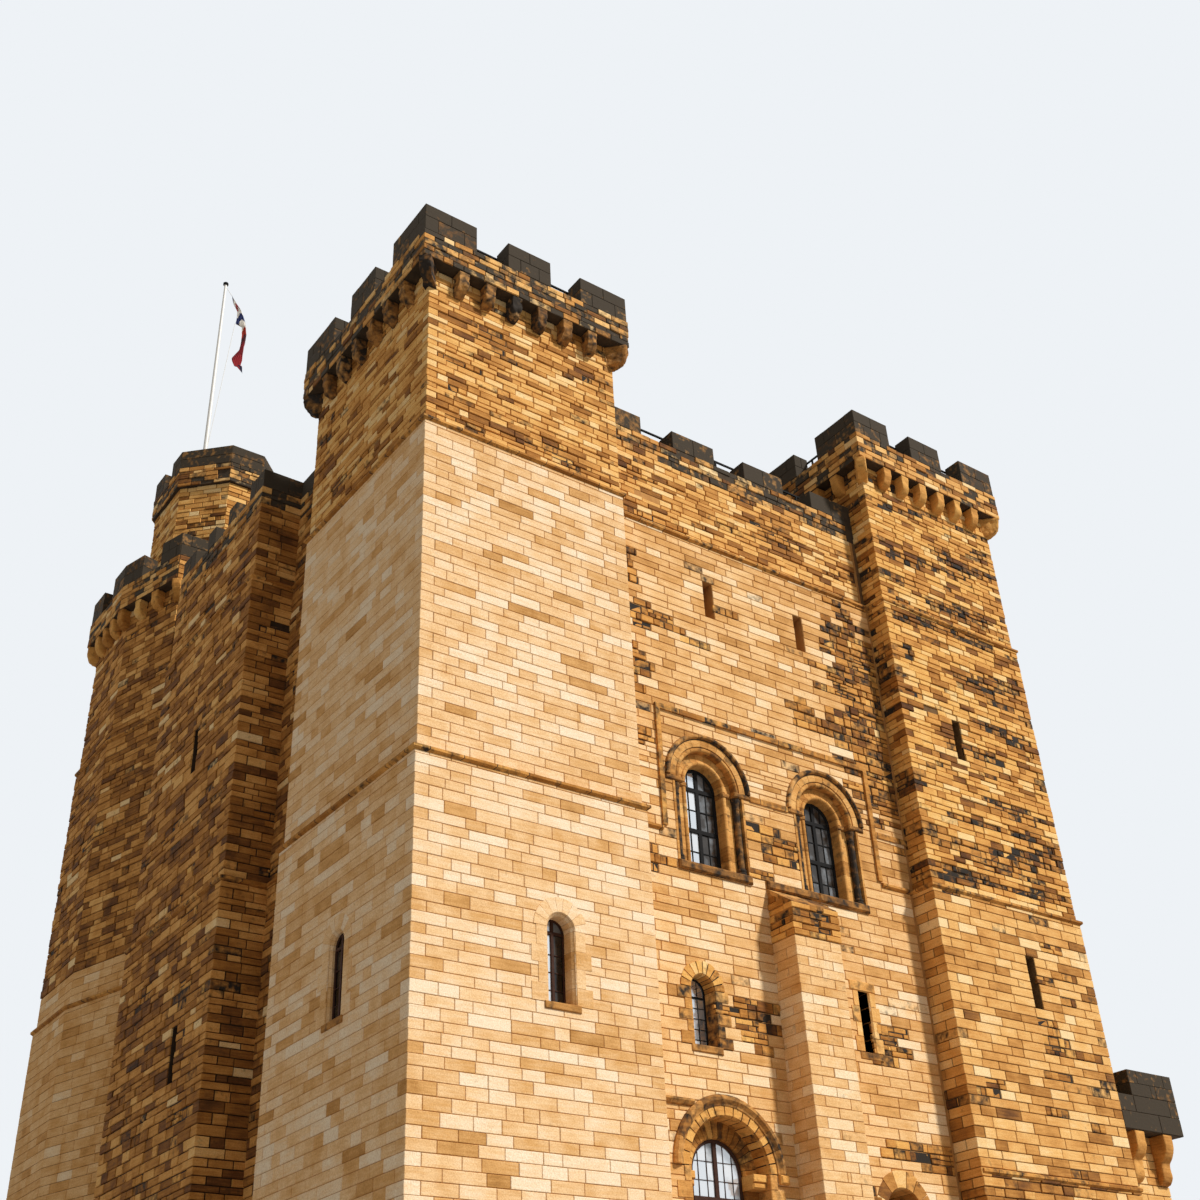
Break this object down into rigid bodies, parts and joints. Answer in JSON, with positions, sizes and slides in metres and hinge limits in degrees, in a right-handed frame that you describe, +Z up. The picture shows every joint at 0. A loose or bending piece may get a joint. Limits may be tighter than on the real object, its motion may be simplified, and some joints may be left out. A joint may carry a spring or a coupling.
{
  "type": "castle keep",
  "caption": "Rectangular medieval stone keep with corner towers, corbelled battlements, arched hall windows, side piers, a stair cap with a flagpole and a low forebuilding.",
  "frame": {"origin": "on the ground under the middle of the keep, without the forebuilding", "axes": "+Z up, +X east along the south front with the hall windows, +Y north"},
  "size_m": [21.47, 20, 36.9],
  "materials": {
    "fine_ashlar": "smooth squared sandstone blocks with thin joints",
    "worn_ashlar": "weathered squared sandstone blocks, some black or eroded",
    "dark_masonry": "rough coursed sandstone, dark and deeply jointed",
    "moulded_stone": "carved sandstone, grey with soot",
    "blackened_stone": "soot-black sandstone with paler joints",
    "paving": "worn stone flags",
    "floor_boards": "oak boards",
    "leaded_glass": "small leaded panes",
    "black_iron": "black painted iron",
    "white_paint": "gloss white paint",
    "bunting": "woven flag cloth",
    "rope": "braided rope"
  },
  "bodies": {
    "root": {"ground_floor": "paving", "first_floor": "floor_boards", "second_floor": "floor_boards", "hall_floor": "floor_boards", "roof_deck": "paving", "tower_decks": "paving", "south_plinth": "worn_ashlar", "west_plinth": "worn_ashlar", "north_plinth": "worn_ashlar", "east_plinth": "worn_ashlar", "string_courses": "moulded_stone", "south_wall": "worn_ashlar", "west_wall_lower": "dark_masonry", "west_wall_upper": "dark_masonry", "north_wall": "dark_masonry", "east_wall_lower": "worn_ashlar", "east_wall_upper": "worn_ashlar", "sw_tower": "fine_ashlar", "se_tower": "worn_ashlar", "ne_tower": "worn_ashlar", "nw_tower": "fine_ashlar", "south_buttress": "worn_ashlar", "west_pier": "dark_masonry", "north_pier": "dark_masonry", "hall_window_surrounds": "moulded_stone", "label_moulding": "moulded_stone", "low_window_hood": "moulded_stone", "window_glass": "leaded_glass", "sw_corbels": "blackened_stone", "se_corbels": "blackened_stone", "ne_corbels": "blackened_stone", "nw_corbels": "blackened_stone", "sw_parapet": "blackened_stone", "se_parapet": "blackened_stone", "ne_parapet": "blackened_stone", "nw_parapet": "blackened_stone", "south_parapet": "blackened_stone", "west_parapet": "blackened_stone", "north_parapet": "blackened_stone", "east_parapet": "blackened_stone", "wall_railings": "black_iron", "tower_railings": "black_iron", "stair_cap": "worn_ashlar", "stair_cap_parapet": "blackened_stone", "flagpole": "white_paint", "flag": "bunting", "halyard": "rope", "forebuilding_walls": "worn_ashlar", "forebuilding_floor": "paving", "forebuilding_deck": "paving", "forebuilding_corbels": "blackened_stone", "forebuilding_parapet": "blackened_stone"}
  },
  "joints": []
}
